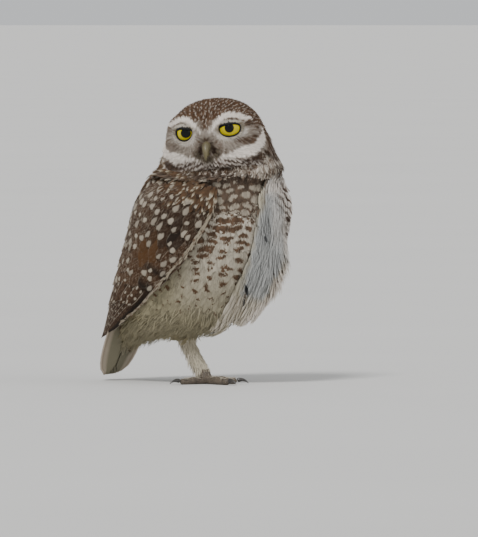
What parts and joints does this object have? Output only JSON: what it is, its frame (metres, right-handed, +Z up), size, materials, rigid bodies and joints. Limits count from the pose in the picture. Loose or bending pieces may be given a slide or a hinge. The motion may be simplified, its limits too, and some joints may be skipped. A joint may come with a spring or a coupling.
{
  "type": "burrowing owl",
  "caption": "Life-size burrowing owl standing on one foot, the other foot drawn up in its belly feathers, head turned over its shoulder.",
  "frame": {"origin": "centre of the flat under the pad of the standing right foot, on the floor", "axes": "+Z up, -Y the way the body faces, +X the bird's left side"},
  "size_m": [0.1196, 0.1522, 0.2116],
  "materials": {
    "brown_plumage": "soft barred and spotted brown feathers",
    "pale_plumage": "soft off-white feathers with brown bars on the breast",
    "eye": "wet, clear, yellow iris round a black pupil",
    "beak_horn": "satin pale olive horn",
    "claw_horn": "satin black-brown horn",
    "toe_skin": "grey-brown scaly skin"
  },
  "bodies": {
    "root": {"head": "brown_plumage", "neck": "brown_plumage", "torso": "pale_plumage", "flank_left": "pale_plumage", "leg_left": "pale_plumage", "leg_right": "pale_plumage", "wing_left": "brown_plumage", "wing_right": "brown_plumage", "tail": "brown_plumage", "eye_left": "eye", "eye_right": "eye", "beak_upper": "beak_horn", "beak_lower": "beak_horn", "foot_right": "toe_skin", "foot_left": "toe_skin", "toe_right_hallux": "toe_skin", "claw_right_hallux": "claw_horn", "toe_right_inner": "toe_skin", "claw_right_inner": "claw_horn", "toe_right_middle": "toe_skin", "claw_right_middle": "claw_horn", "toe_right_outer": "toe_skin", "claw_right_outer": "claw_horn", "claw_left_inner": "claw_horn", "claw_left_middle": "claw_horn", "claw_left_outer": "claw_horn"}
  },
  "joints": []
}
